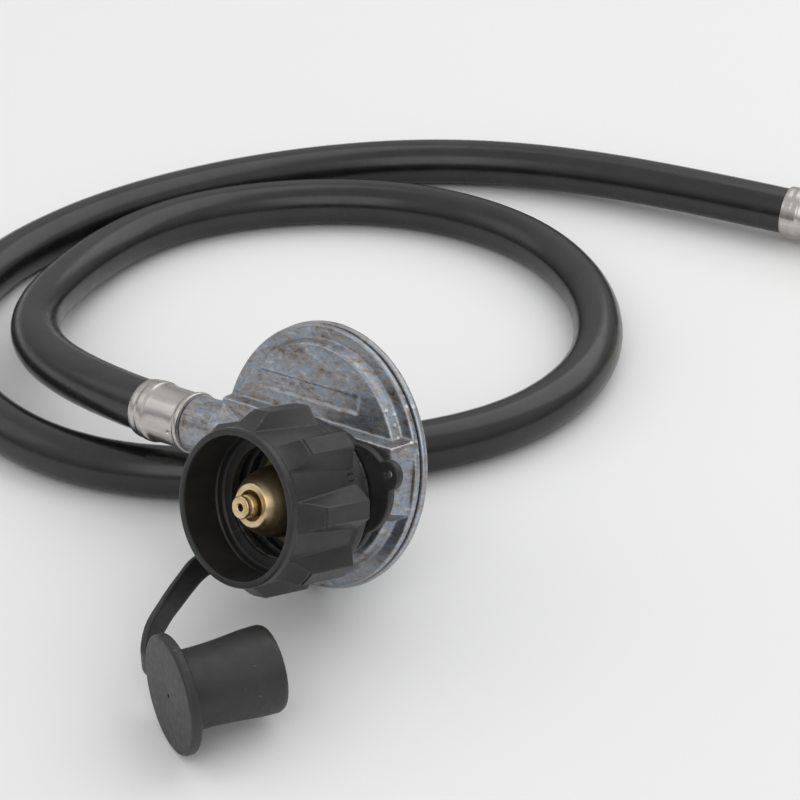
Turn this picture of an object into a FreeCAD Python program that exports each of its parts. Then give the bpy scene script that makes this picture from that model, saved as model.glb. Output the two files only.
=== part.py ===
import FreeCAD, Part
import math
import os

# Propane regulator hose: a single-stage RV regulator with a hand-tightened cylinder nut,
# a tethered dust cap and a 3 ft hose ending in a 3/8 inch flare swivel nut.
# All lengths are millimetres and all angles degrees.
#
# Two frames are used.
#   Regulator frame: origin in the middle of the front flange, +Z out of the cylinder nut,
#                    -X along the outlet, +Y up.
#   Row frame: +Z up from the floor; the hose and the dust cap are laid out in it.

Vector = FreeCAD.Vector
ZAXIS = Vector(0, 0, 1)

# How the regulator stands: on its rim, leaning back, rolled about its own axis.
LEAN = 17.5
ROLL = 9.6

# Regulator body
RIM_R = 34.3             # bonnet flange
FLANGE_R = 33.8          # body flange
FLANGE_BACK = -1.8       # back of the body flange, front of the diaphragm
MEMBRANE_BACK = -2.3     # back of the diaphragm, front of the bonnet flange
RIM_BACK = -4.2
FACE_Z = 2.8             # raised face
BOSS_Z = 6.5             # bar-shaped boss across the face
CHAMBER_R = 27.0
TROUGH_Z = 5.0

# Cylinder inlet
INLET = (11.5, -5.5)
NECK_R = 11.0
COLLAR_R = 17.0
COLLAR_Z = (10.0, 12.6)
STEM_R = 7.0
NIPPLE_R = 9.0
NOSE_Z = 34.5
PROBE_Z = 38.1

# Hand nut, 1-5/16 inch ACME
NUT_BACK = 13.6
NUT_FRONT = 40.0
NUT_R = 19.9
THREAD_MINOR_R = 14.2
THREAD_MAJOR_R = 16.7
THREAD_PITCH = 5.08
RIB_COUNT = 8
RIB_R = 22.8
RIB_ANGLE = 6.0

# Outlet, hose and ferrules
OUTLET_Z = 3.9
STUB_END = 39.5
FERRULE_LENGTH = 19.0
FERRULE_R = 7.8
HOSE_R = 14.3 / 2
LINER_R = 10.5 / 2
HOSE_BORE_R = 8.0 / 2
BARB_BORE_R = 2.8

# Diaphragm linkage
TRAVEL = 1.6             # diaphragm stroke
PIN_FROM_SEAT = 5.0      # lever pin to the orifice's axis
PIN_HEIGHT = 0.8

# Tether and dust cap
STRAP_WIDTH = 6.2
STRAP_THICKNESS = 2.0
STRAP_EXIT = 220         # direction in which the strap leaves the ring
RING_Z = (7.5, 9.7)
RING_R = 17.0
RING_HOLE_R = 13.0
LOBE_R = 11.3
TAB_R = 3.8
CAP_FLANGE_R = 14.75
CAP_FLANGE = 2.75        # flange thickness
CAP_NECK_R = 9.8         # sleeve beside the flange
CAP_SLEEVE_R = 10.8      # sleeve at its lip
CAP_BORE_R = 8.8
CAP_LENGTH = 26.5
CAP_POINT = (28.2, -75.8)
CAP_HEADING = -108.8
CAP_TILT = 1.5           # the strap holds the sleeve's end off the floor
STRAP_ROOT = (-0.945, 0.320, -0.07)      # from the cap's axis to where the strap joins

# Swivel nut at the far end
FLARE_ACROSS_FLATS = 19.05
FLARE_MINOR_R = 7.2
FAR_POINT = (-24.2, 225.9, 9.6)
FAR_HEADING = (0.951, 0.309, 0.0)

SEAT_TO_CENTRE = math.hypot(INLET[0], INLET[1])
LEVER_ANGLE = math.degrees(math.asin(TRAVEL / (SEAT_TO_CENTRE - PIN_FROM_SEAT)))
HEIGHT = RIM_R * math.cos(math.radians(LEAN)) - RIM_BACK * math.sin(math.radians(LEAN))

STAND = FreeCAD.Placement(
    Vector(0, 0, HEIGHT),
    FreeCAD.Rotation(Vector(1, 0, 0), 90 - LEAN).multiply(FreeCAD.Rotation(ZAXIS, ROLL)))


def lathe(profile, centre=(0, 0)):
    """Solid turned about the Z axis through centre, from (radius, height) pairs."""
    points = [Vector(r, 0, z) for r, z in profile]
    face = Part.Face(Part.makePolygon(points + points[:1]))
    solid = face.revolve(Vector(0, 0, 0), ZAXIS, 360)
    solid.translate(Vector(centre[0], centre[1], 0))
    return solid


def aim(shape, start, direction):
    """Move a shape built on the Z axis so that it starts at start and points along direction."""
    turn = FreeCAD.Rotation(ZAXIS, Vector(*direction))
    moved = shape.copy()
    moved.Placement = FreeCAD.Placement(Vector(*start), turn).multiply(shape.Placement)
    return moved


def outlet(shape):
    """Move a shape built on the Z axis onto the outlet's axis."""
    return aim(shape, (0, 0, OUTLET_Z), (-1, 0, 0))


def disc(radius, low, high, centre=(0, 0)):
    """Plain disc between two heights."""
    return Part.makeCylinder(radius, high - low, Vector(centre[0], centre[1], low))


def prism(points, low, high):
    """Straight prism over a polygon in the XY plane."""
    corners = [Vector(x, y, low) for x, y in points]
    face = Part.Face(Part.makePolygon(corners + corners[:1]))
    return face.extrude(Vector(0, 0, high - low))


def coil(radius, wire_r, low, high, turns, centre=(0, 0)):
    """Helical compression spring with its wire's middle on radius."""
    rise = high - low - 2 * wire_r
    helix = Part.makeHelix(rise / turns, rise, radius)
    section = Part.Wire(Part.makeCircle(wire_r, Vector(radius, 0, 0), Vector(0, 1, 0)))
    spring = Part.Wire(helix.Edges).makePipeShell([section], True, True)
    spring.translate(Vector(centre[0], centre[1], low + wire_r))
    return spring


# ---- regulator body ----

def bar_boss():
    """Raised bar from the outlet to the far side of the face, with drafted sides."""
    foot = [(-30, -10.9), (27, -10.9), (32.4, -7.6), (32.4, 11.4), (-30, 10.9)]
    top = [(-29, -9.8), (26, -9.8), (30.6, -6.8), (30.6, 9.8), (-29, 9.8)]
    wires = []
    for outline, height in ((foot, -1.0), (top, BOSS_Z)):
        corners = [Vector(x, y, height) for x, y in outline]
        wires.append(Part.makePolygon(corners + corners[:1]))
    boss = Part.makeLoft(wires, True, True)
    return boss.common(disc(FLANGE_R - 0.3, -1.0, BOSS_Z))


def lever_directions():
    """Unit vectors from the orifice to the diaphragm's centre, and along the lever's pin."""
    along = Vector(-INLET[0], -INLET[1], 0).normalize()
    across = ZAXIS.cross(along)
    return along, across


def pin_point():
    """Middle of the lever's pin."""
    along, across = lever_directions()
    return Vector(INLET[0], INLET[1], PIN_HEIGHT) + along * PIN_FROM_SEAT


def lever_lugs():
    """Two lugs under the roof of the bar boss that carry the lever's pin."""
    along, across = lever_directions()
    lugs = []
    for side in (-1, 1):
        middle = pin_point() + across * (side * 4.2)
        corners = []
        for a, b in ((-1.7, -0.8), (1.7, -0.8), (1.7, 0.8), (-1.7, 0.8)):
            point = middle + along * a + across * b
            corners.append((point.x, point.y))
        lugs.append(prism(corners, -0.9, TROUGH_Z + 0.4))
    return lugs


def lower_body():
    """Front casting: flange, raised face, bar boss, inlet neck and outlet stub."""
    body = lathe([(0, FLANGE_BACK), (FLANGE_R - 0.3, FLANGE_BACK), (FLANGE_R, FLANGE_BACK + 0.3),
                  (FLANGE_R, -0.4), (FLANGE_R - 0.4, 0), (30.2, 0), (29.3, FACE_Z - 0.4),
                  (28.9, FACE_Z), (0, FACE_Z)])
    neck = lathe([(0, 0), (NECK_R, 0), (NECK_R, COLLAR_Z[0]), (COLLAR_R - 0.4, COLLAR_Z[0]),
                  (COLLAR_R, COLLAR_Z[0] + 0.4), (COLLAR_R, COLLAR_Z[1] - 0.4),
                  (COLLAR_R - 0.4, COLLAR_Z[1]), (0, COLLAR_Z[1])], INLET)
    stub = outlet(lathe([(0, 20), (4.5, 20), (8.4, 28), (8.0, 31), (7.6, 35),
                         (7.6, STUB_END - 0.4), (7.2, STUB_END), (0, STUB_END)]))
    stub = stub.cut(disc(RIM_R + 0.4, -12, FLANGE_BACK))
    body = body.fuse([bar_boss(), neck, stub])
    strip = Part.makeBox(35, 4.5, 2, Vector(-20, 14.5, FACE_Z - 0.5))
    chamber = disc(CHAMBER_R, FLANGE_BACK - 1, 1.0)
    trough = Part.makeBox(44, 16, TROUGH_Z - 0.9, Vector(-22, -8, 0.9))
    stem_bore = lathe([(0, 4), (2.8, 4), (2.8, 5.4), (STEM_R, 5.4), (STEM_R, 20), (0, 20)], INLET)
    outlet_bore = outlet(lathe([(0, 19), (BARB_BORE_R, 19), (BARB_BORE_R, 30), (4.6, 30),
                                (4.6, 45), (0, 45)]))
    body = body.cut([strip, chamber, trough, stem_bore, outlet_bore])
    pin = aim(disc(0.8, -5, 5), pin_point(), lever_directions()[1])
    lugs = [lug.cut(pin) for lug in lever_lugs()]
    return body.fuse(lugs).removeSplitter()


def membrane():
    """Rubber diaphragm with one rolled convolution, clamped between the two flanges."""
    front = FLANGE_BACK
    back = MEMBRANE_BACK
    return lathe([(2.8, back), (19.2, back), (20.7, back + 1.4), (23.3, back + 1.4), (24.8, back),
                  (31.5, back), (31.5, front), (24.4, front), (22.9, front + 1.4),
                  (21.1, front + 1.4), (19.6, front), (2.8, front)])


def bonnet():
    """Rear casting: rim, dome over the spring, and the adjuster's tower with a vent spout."""
    outer = lathe([(0, RIM_BACK), (RIM_R - 0.4, RIM_BACK), (RIM_R, RIM_BACK + 0.4),
                   (RIM_R, MEMBRANE_BACK - 0.3), (RIM_R - 0.3, MEMBRANE_BACK), (0, MEMBRANE_BACK)])
    dome = lathe([(0, RIM_BACK + 0.5), (30.5, RIM_BACK + 0.5), (29.5, -6.0), (26.5, -9.5),
                  (20.0, -13.0), (12.2, -15.5), (11.0, -17.0), (11.0, -23.6), (10.6, -24.0),
                  (0, -24.0)])
    spout = aim(disc(4.6, 16, 29), (0, 0, -9.5), (0, -1, 0))
    shell = outer.fuse([dome, spout])
    hollow = lathe([(0, MEMBRANE_BACK + 1), (28.0, MEMBRANE_BACK + 1), (28.0, -5.4), (25.2, -8.2),
                    (19.2, -11.3), (11.5, -13.8), (9.2, -15.0), (9.2, -25), (0, -25)])
    vent = aim(disc(3.2, 12, 30), (0, 0, -9.5), (0, -1, 0))
    seat = aim(disc(3.8, 27.4, 30), (0, 0, -9.5), (0, -1, 0))
    return shell.cut([hollow, vent, seat]).removeSplitter()


def vent_screen():
    """Perforated disc in the mouth of the vent spout."""
    screen = disc(3.8, 27.4, 28.0)
    holes = [disc(0.45, 27, 29, (0, 0))]
    for index in range(6):
        angle = math.radians(60 * index)
        holes.append(disc(0.45, 27, 29, (2.0 * math.cos(angle), 2.0 * math.sin(angle))))
    return aim(screen.cut(holes), (0, 0, -9.5), (0, -1, 0))


def bonnet_cap():
    """Screw plug that closes the adjuster's tower, with a coin slot."""
    plug = lathe([(0, -20.5), (9.2, -20.5), (9.2, -24.0), (10.8, -24.0), (10.8, -25.4),
                  (10.2, -26.0), (0, -26.0)])
    return plug.cut(Part.makeBox(14, 2.0, 1.2, Vector(-7, -1.0, -26.2)))


def adjusting_screw():
    """Threaded disc that sets the spring, with a hexagon hole."""
    hexagon = [(3.0 * math.cos(math.radians(60 * i)), 3.0 * math.sin(math.radians(60 * i)))
               for i in range(6)]
    screw = lathe([(0, -16.2), (9.1, -16.2), (9.1, -18.6), (0, -18.6)])
    return screw.cut(prism(hexagon, -20, -15))


def main_spring():
    """Loading spring between the diaphragm plate and the adjusting screw."""
    return coil(6.4, 0.65, -15.9, -3.9, 5)


def diaphragm_plate():
    """Stiffening plate behind the diaphragm, with a turned-up edge."""
    return lathe([(2.4, -2.6), (17.0, -2.6), (17.0, -4.2), (16.0, -4.2), (16.0, -3.6), (2.4, -3.6)])


def diaphragm_stem():
    """Stem through the diaphragm, with the waist that the lever's fork straddles."""
    return lathe([(0, -5.6), (1.8, -5.6), (2.4, -5.0), (2.4, 0.9), (1.1, 0.9), (1.1, 3.8),
                  (2.0, 3.8), (2.0, 4.5), (0, 4.5)])


def tip_lever(shape):
    """Turn a lever piece from its closed pose to rest, where the valve is open."""
    along, across = lever_directions()
    shape.rotate(pin_point(), across, -LEVER_ANGLE)
    return shape


def lever_arm():
    """Lever from under the orifice to the diaphragm's centre, with a barrel round its pin."""
    along, across = lever_directions()
    seat = Vector(INLET[0], INLET[1], 0)
    outline = [(0, -2.3), (3, -2.6), (SEAT_TO_CENTRE + 2.0, -2.6), (SEAT_TO_CENTRE + 2.0, -1.4),
               (SEAT_TO_CENTRE - 1.8, -1.4), (SEAT_TO_CENTRE - 1.8, 1.4),
               (SEAT_TO_CENTRE + 2.0, 1.4), (SEAT_TO_CENTRE + 2.0, 2.6), (3, 2.6), (0, 2.3)]
    corners = []
    for a, b in outline:
        point = seat + along * a + across * b
        corners.append((point.x, point.y))
    bar = prism(corners, PIN_HEIGHT - 0.6, PIN_HEIGHT + 0.6)
    tip = disc(2.3, PIN_HEIGHT - 0.6, PIN_HEIGHT + 0.6, INLET)
    barrel = aim(disc(1.6, -2.6, 2.6), pin_point(), across)
    bore = aim(disc(0.88, -4, 4), pin_point(), across)
    return tip_lever(bar.fuse([tip, barrel]).cut(bore).removeSplitter())


def seat_pad():
    """Rubber pad on the lever that closes the orifice."""
    return tip_lever(disc(2.3, PIN_HEIGHT + 0.6, PIN_HEIGHT + 1.9, INLET))


def lever_pin():
    """Pin carried by the two lugs."""
    return aim(disc(0.8, -5, 5), pin_point(), lever_directions()[1])


# ---- cylinder inlet ----

def inlet_nipple():
    """Turned brass nipple with a thrust flange and a bullet nose."""
    outer = [(0, 5.4), (STEM_R - 0.4, 5.4), (STEM_R, 5.8), (STEM_R, 12.6), (NIPPLE_R, 12.6),
             (NIPPLE_R, 18.7), (12.0, 18.7), (12.0, 20.1), (11.6, 20.5), (NIPPLE_R, 20.5),
             (NIPPLE_R, 25.5), (8.85, 27.0), (8.35, 29.0), (7.6, 31.0), (6.6, 33.0),
             (5.6, NOSE_Z - 0.2), (5.3, NOSE_Z), (0, NOSE_Z)]
    bore = [(0, 4), (4.6, 4), (4.6, 24.0), (2.9, 24.0), (2.9, 29.5), (3.75, 29.5), (3.75, 36),
            (0, 36)]
    return lathe(outer, INLET).cut(lathe(bore, INLET))


def orifice_seat():
    """Brass orifice pressed into the back of the nipple, its nose reaching into the chamber."""
    return lathe([(0.9, 3.0), (1.6, 3.0), (2.0, 3.4), (2.0, 5.4), (4.6, 5.4), (4.6, 7.6),
                  (0.9, 7.6)], INLET)


def inlet_filter():
    """Gauze disc over the orifice."""
    screen = disc(4.6, 7.6, 8.2, INLET)
    holes = []
    for ring_r, count in ((1.1, 5), (2.6, 11)):
        for index in range(count):
            angle = math.radians(360 * index / count)
            spot = (INLET[0] + ring_r * math.cos(angle), INLET[1] + ring_r * math.sin(angle))
            holes.append(disc(0.35, 7, 9, spot))
    return screen.cut(holes)


def flow_poppet():
    """Excess-flow poppet with three gas flutes round its guide."""
    poppet = lathe([(0, 8.7), (4.3, 8.7), (4.3, 12.2), (1.5, 12.2), (1.5, 18.6), (0.4, 19.8),
                    (0, 19.8)], INLET)
    flutes = []
    for index in range(3):
        angle = math.radians(120 * index)
        spot = (INLET[0] + 4.6 * math.cos(angle), INLET[1] + 4.6 * math.sin(angle))
        flutes.append(disc(1.3, 8, 13, spot))
    return poppet.cut(flutes)


def flow_spring():
    """Light spring that holds the excess-flow poppet open."""
    return coil(2.7, 0.3, 12.5, 21.7, 6, INLET)


def inlet_probe():
    """Fixed probe that opens the cylinder's valve, with a groove near its tip."""
    tip = PROBE_Z
    return lathe([(1.6, 22.0), (4.6, 22.0), (4.6, 24.0), (2.9, 24.0), (2.9, tip - 1.9),
                  (2.6, tip - 1.7), (2.6, tip - 1.3), (2.9, tip - 1.1), (2.9, tip - 0.3),
                  (2.6, tip), (0.9, tip), (0.9, tip - 2.4), (1.6, tip - 3.1)], INLET)


def rib():
    """One grip rib of the hand nut, on the +X side: flat crown, sloped flanks and front."""
    def section(crown, half_crown, half_foot, height):
        foot = 18.6
        corners = [Vector(foot, -half_foot, height), Vector(crown, -half_crown, height),
                   Vector(crown, half_crown, height), Vector(foot, half_foot, height)]
        return Part.makePolygon(corners + corners[:1])
    back = Part.makeLoft([section(RIB_R, 2.1, 5.4, 16.4), section(RIB_R, 2.1, 5.0, 32.0)],
                         True, True)
    front = Part.makeLoft([section(RIB_R, 2.1, 5.0, 32.0), section(19.6, 2.4, 3.4, 38.4)],
                          True, True)
    return back.fuse(front)


def hand_nut():
    """Black hand nut: smooth mouth, a ledge and step, ACME grooves, and eight grip ribs."""
    profile = [(9.4, NUT_BACK), (19.3, NUT_BACK), (NUT_R, NUT_BACK + 0.6), (NUT_R, 17.0),
               (19.4, 18.0), (19.2, 37.6), (19.6, 38.0), (19.6, NUT_FRONT - 0.3),
               (19.2, NUT_FRONT), (17.9, NUT_FRONT), (17.7, NUT_FRONT - 0.3), (17.7, 29.2),
               (17.3, 28.6), (17.3, 27.4), (16.8, 26.8), (THREAD_MINOR_R, 26.8)]
    for index in range(2):
        middle = 24.2 - THREAD_PITCH * index
        profile += [(THREAD_MINOR_R, middle + 1.75), (THREAD_MAJOR_R, middle + 0.95),
                    (THREAD_MAJOR_R, middle - 0.95), (THREAD_MINOR_R, middle - 1.75)]
    profile += [(THREAD_MINOR_R, 16.2), (9.4, 16.2)]
    ribs = []
    for index in range(RIB_COUNT):
        grip = rib()
        grip.rotate(Vector(0, 0, 0), ZAXIS, RIB_ANGLE + 360 * index / RIB_COUNT)
        grip.translate(Vector(INLET[0], INLET[1], 0))
        ribs.append(grip.cut(disc(18.8, 10, 45, INLET)))
    return lathe(profile, INLET).fuse(ribs).removeSplitter()


def thermal_bushing():
    """Plastic bushing between the hand nut's back wall and the nipple's flange."""
    return lathe([(9.4, 16.2), (THREAD_MINOR_R, 16.2), (THREAD_MINOR_R, 17.2), (13.6, 18.3),
                  (9.4, 18.3)], INLET)


# ---- outlet and ferrules ----

def barb(collar_start, collar_end, length):
    """Brass insert: a collar held in the fitting, and a grooved barb inside the hose."""
    profile = [(BARB_BORE_R, collar_start), (4.6, collar_start), (4.6, collar_end),
               (HOSE_BORE_R, collar_end)]
    for index in range(3):
        start = collar_end + 3.0 + 4.0 * index
        profile += [(HOSE_BORE_R, start), (HOSE_BORE_R - 0.4, start + 0.1),
                    (HOSE_BORE_R, start + 1.6)]
    profile += [(HOSE_BORE_R, collar_end + length - 0.8),
                (HOSE_BORE_R - 0.6, collar_end + length), (BARB_BORE_R, collar_end + length)]
    return profile


def outlet_barb():
    """Barb pressed into the outlet stub."""
    return outlet(lathe(barb(30.0, STUB_END + 1.2, 16.0)))


def ferrule():
    """Crimped ferrule standing on its fitting end, with a raised band and an inspection hole."""
    inner = HOSE_R
    end = FERRULE_LENGTH
    sleeve = lathe([(4.6, 0), (7.5, 0), (8.2, 0.5), (8.2, 1.3), (FERRULE_R, 2.0),
                    (FERRULE_R, end - 6.4), (8.1, end - 5.8), (8.1, end - 0.4),
                    (7.8, end), (inner, end), (inner, 1.1), (4.6, 1.1)])
    return sleeve.cut(aim(disc(0.5, 5, 10), (0, 0, 5.4), (-0.5, 0.8, 0)))


def regulator_ferrule():
    """Ferrule at the regulator."""
    return outlet(aim(ferrule(), (0, 0, STUB_END + 0.1), (0, 0, 1)))


def far_origin():
    """Fitting end of the far ferrule, in the row frame."""
    return Vector(*FAR_POINT) + Vector(*FAR_HEADING) * FERRULE_LENGTH


def far_ferrule():
    """Ferrule at the swivel nut."""
    return aim(ferrule(), far_origin(), Vector(*FAR_HEADING) * -1)


def flare_stem():
    """Brass stem: barb in the hose, neck through the swivel nut, and a 45 degree seat."""
    profile = [(r, -height) for r, height in barb(0, 1.1, 16.0)]
    profile += [(BARB_BORE_R, 6.2), (5.6, 9.0), (6.6, 9.0), (6.6, 6.5), (5.0, 6.5), (5.0, 0.3),
                (4.6, 0.3)]
    tail = profile[1:2]
    outline = profile[2:] + tail
    return aim(lathe(outline), far_origin(), FAR_HEADING)


def flare_nut():
    """Hexagon swivel nut, 5/8-18 female, with chamfered corners, lying on one flat."""
    corner = FLARE_ACROSS_FLATS / math.sqrt(3)
    flat_down = math.atan2(FAR_HEADING[1], FAR_HEADING[0])
    hexagon = []
    for index in range(6):
        angle = flat_down + math.radians(30 + 60 * index)
        hexagon.append((corner * math.cos(angle), corner * math.sin(angle)))
    blank = prism(hexagon, 2.0, 19.0)
    turned = lathe([(0, 2.0), (corner - 1.5, 2.0), (corner, 2.9), (corner, 18.1),
                    (corner - 1.5, 19.0), (0, 19.0)])
    bore = lathe([(0, 1), (5.4, 1), (5.4, 5.8), (7.6, 5.8), (7.6, 9.3), (FLARE_MINOR_R, 9.3),
                  (FLARE_MINOR_R, 18.2), (8.0, 19.0), (8.0, 20), (0, 20)])
    return aim(blank.common(turned).cut(bore), far_origin(), FAR_HEADING)


# ---- hose ----

def hose_points():
    """Corners of the hose's run from the regulator round its loop to the far ferrule."""
    start = STAND.multVec(Vector(-STUB_END - 1.3, 0, OUTLET_Z))
    out = STAND.multVec(Vector(-87.5, 0, OUTLET_Z)) - start
    rest = HOSE_R + 0.05
    corners = [start, start + out,
               Vector(-132, 8, 13.5), Vector(-158, 47, 8.8), Vector(-161, 89, rest),
               Vector(-143, 125, rest), Vector(-112, 152, rest), Vector(-72, 161, rest),
               Vector(-33, 147, rest), Vector(-7, 115, rest), Vector(-1, 74, rest),
               Vector(-16, 36, rest), Vector(-38, 2, rest), Vector(-72, -20, rest),
               Vector(-112, -24, rest), Vector(-150, -7, rest), Vector(-174, 26, rest),
               Vector(-179, 66, rest), Vector(-172, 105, rest), Vector(-156, 142, rest),
               Vector(-133, 174, rest), Vector(-101, 197, 8.4), Vector(-55, 216, FAR_POINT[2])]
    return corners + [far_origin() - Vector(*FAR_HEADING) * 1.2]


def hose_path(corners):
    """Straight runs joined by tangent arcs, and the radius of every arc."""
    edges = []
    radii = []
    here = corners[0]
    for before, corner, after in zip(corners, corners[1:], corners[2:]):
        back = before - corner
        ahead = after - corner
        half_turn = (math.pi - back.getAngle(ahead)) / 2
        reach = 0.45 * min(back.Length, ahead.Length)
        radius = reach / math.tan(half_turn)
        radii.append(radius)
        back.normalize()
        ahead.normalize()
        start = corner + back * reach
        end = corner + ahead * reach
        towards = (back + ahead).normalize()
        centre = corner + towards * (radius / math.cos(half_turn))
        middle = centre - towards * radius
        edges.append(Part.LineSegment(here, start).toShape())
        edges.append(Part.Arc(start, middle, end).toShape())
        here = end
    edges.append(Part.LineSegment(here, corners[-1]).toShape())
    return Part.Wire(edges), radii


def hose_tube(path, outer_r, inner_r):
    """Round tube along the hose's path."""
    first = path.Edges[0]
    start = first.Vertexes[0].Point
    heading = first.tangentAt(first.FirstParameter)
    tubes = []
    for radius in (outer_r, inner_r):
        section = Part.Wire(Part.makeCircle(radius, start, heading))
        tubes.append(path.makePipeShell([section], True, False))
    return tubes[0].cut(tubes[1])


# ---- tether and dust cap ----

def cap_axis():
    """Direction out of the dust cap's flange."""
    heading = math.radians(CAP_HEADING)
    tilt = math.radians(CAP_TILT)
    return Vector(math.cos(heading) * math.cos(tilt), math.sin(heading) * math.cos(tilt),
                  math.sin(tilt))


def cap_origin():
    """Middle of the dust cap's flange face; the flange's edge stands on the floor."""
    tilt = math.radians(CAP_TILT)
    height = CAP_FLANGE_R * math.cos(tilt) + CAP_FLANGE * math.sin(tilt) + 0.05
    return Vector(CAP_POINT[0], CAP_POINT[1], height)


def dust_cap():
    """Soft cap: flange, sleeve that swells towards its lip, deep bore and a vent hole."""
    cap = lathe([(0.6, 0), (CAP_FLANGE_R - 0.5, 0), (CAP_FLANGE_R, -0.5),
                 (CAP_FLANGE_R, 0.5 - CAP_FLANGE), (CAP_FLANGE_R - 0.5, -CAP_FLANGE),
                 (CAP_NECK_R, -CAP_FLANGE), (CAP_NECK_R, 15 - CAP_LENGTH),
                 (CAP_SLEEVE_R, 5 - CAP_LENGTH), (CAP_SLEEVE_R, 0.6 - CAP_LENGTH),
                 (CAP_SLEEVE_R - 0.5, -CAP_LENGTH), (CAP_BORE_R + 0.4, -CAP_LENGTH),
                 (CAP_BORE_R, 1 - CAP_LENGTH), (CAP_BORE_R, -3.0), (0.6, -3.0)])
    return aim(cap, cap_origin(), cap_axis())


def strap_section(middle, run, flat_normal):
    """Rectangle across the strap at one station."""
    side = run.cross(flat_normal).normalize()
    normal = side.cross(run).normalize()
    corners = []
    for a, b in ((-1, -1), (1, -1), (1, 1), (-1, 1)):
        corners.append(middle + side * (a * STRAP_WIDTH / 2) + normal * (b * STRAP_THICKNESS / 2))
    return Part.makePolygon(corners + corners[:1])


def strap():
    """Flexible strap: out of the ring, forward past the nut, and round to the cap's flange."""
    ring_middle = (RING_Z[0] + RING_Z[1]) / 2
    exit_angle = math.radians(STRAP_EXIT)
    ring_ends = []
    for reach in (14.5, 21.0):
        ring_ends.append(STAND.multVec(Vector(INLET[0] + reach * math.cos(exit_angle),
                                              INLET[1] + reach * math.sin(exit_angle),
                                              ring_middle)))
    edge = cap_origin() - cap_axis() * (CAP_FLANGE / 2)
    root = Vector(*STRAP_ROOT)
    middles = ring_ends + [
        Vector(-4.2, -20.8, 15.6), Vector(-5.1, -27.2, 15.4), Vector(-4.4, -33.5, 16.2),
        Vector(-2.4, -39.6, 17.4), Vector(0.6, -45.5, 18.3), Vector(3.7, -51.5, 18.9),
        Vector(6.5, -57.5, 18.8), Vector(9.0, -63.5, 17.2),
        edge + root * (CAP_FLANGE_R + 3.2), edge + root * (CAP_FLANGE_R - 1.0)]
    normals = [Vector(0, 0.95, -0.30), Vector(-0.33, 0.75, -0.57), Vector(-0.71, 0.31, -0.63),
               Vector(-0.79, 0, -0.61), Vector(-0.78, -0.27, -0.57), Vector(-0.74, -0.40, -0.54),
               Vector(-0.78, -0.46, -0.43), Vector(-0.82, -0.42, -0.40),
               Vector(-0.89, -0.34, -0.30), Vector(-0.91, -0.27, -0.31),
               Vector(-0.71, -0.70, 0), cap_axis()]
    sections = []
    for index, middle in enumerate(middles):
        before = middles[max(index - 1, 0)]
        after = middles[min(index + 1, len(middles) - 1)]
        sections.append(strap_section(middle, (after - before).normalize(), normals[index]))
    return Part.makeLoft(sections, True, True)


def tether():
    """Rubber ring round the inlet neck, widened into a pull tab, and the strap to the cap."""
    def round_plate(radius, x, y):
        return disc(radius, RING_Z[0], RING_Z[1], (INLET[0] + x, INLET[1] + y))
    ring = round_plate(RING_R, 0.8, 0.2)
    ring = ring.fuse([round_plate(LOBE_R, 11.3, 3.7), round_plate(TAB_R, 21.1, 9.4)])
    ring = ring.cut([round_plate(RING_HOLE_R, 1.0, 0.3), round_plate(1.1, 21.6, 9.8)])
    ring.Placement = STAND.multiply(ring.Placement)
    return ring.fuse(strap()).cut(dust_cap()).removeSplitter()


REGULATOR_PARTS = {
    "lower_body": lower_body,
    "diaphragm_membrane": membrane,
    "bonnet": bonnet,
    "vent_screen": vent_screen,
    "bonnet_cap": bonnet_cap,
    "adjusting_screw": adjusting_screw,
    "main_spring": main_spring,
    "diaphragm_plate": diaphragm_plate,
    "diaphragm_stem": diaphragm_stem,
    "lever_arm": lever_arm,
    "seat_pad": seat_pad,
    "lever_pin": lever_pin,
    "inlet_nipple": inlet_nipple,
    "orifice_seat": orifice_seat,
    "inlet_filter": inlet_filter,
    "flow_poppet": flow_poppet,
    "flow_spring": flow_spring,
    "inlet_probe": inlet_probe,
    "hand_nut": hand_nut,
    "thermal_bushing": thermal_bushing,
    "outlet_barb": outlet_barb,
    "regulator_ferrule": regulator_ferrule,
}

ROW_PARTS = {
    "tether": tether,
    "dust_cap": dust_cap,
}

CORD_PARTS = {
    "far_ferrule": far_ferrule,
    "flare_stem": flare_stem,
    "flare_nut": flare_nut,
}


def main():
    """Build every piece, centre the regulator over the origin and write one file per piece."""
    shapes = {}
    for name, build in REGULATOR_PARTS.items():
        shape = build()
        shape.Placement = STAND.multiply(shape.Placement)
        shapes[name] = shape
    for name, build in ROW_PARTS.items():
        shapes[name] = build()

    box = FreeCAD.BoundBox()
    for shape in shapes.values():
        box.add(shape.optimalBoundingBox(False, False))
    origin = Vector(-box.Center.x, -box.Center.y, -box.ZMin)
    print("origin shift", [round(value, 3) for value in origin])
    print("regulator size", round(box.XLength, 2), round(box.YLength, 2), round(box.ZLength, 2))

    for name, build in CORD_PARTS.items():
        shapes[name] = build()
    path, radii = hose_path(hose_points())
    print("hose length", round(path.Length, 1), "radii", [round(radius, 1) for radius in radii])
    for name, outer_r, inner_r in (("hose_cover", HOSE_R, LINER_R),
                                   ("hose_liner", LINER_R, HOSE_BORE_R)):
        tube = hose_tube(path, outer_r, inner_r)
        expected = math.pi * (outer_r ** 2 - inner_r ** 2) * path.Length
        print(name, "volume over section times length", round(tube.Volume / expected, 4))
        shapes[name] = tube

    os.makedirs("parts", exist_ok=True)
    for name, shape in shapes.items():
        shape.translate(origin)
        if not shape.isValid() or len(shape.Solids) != 1:
            print("check", name, shape.isValid(), len(shape.Solids))
        shape.exportStep("parts/" + name + ".step")


main()
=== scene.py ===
import bmesh
import bpy
import math
from mathutils import Matrix, Vector


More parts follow.
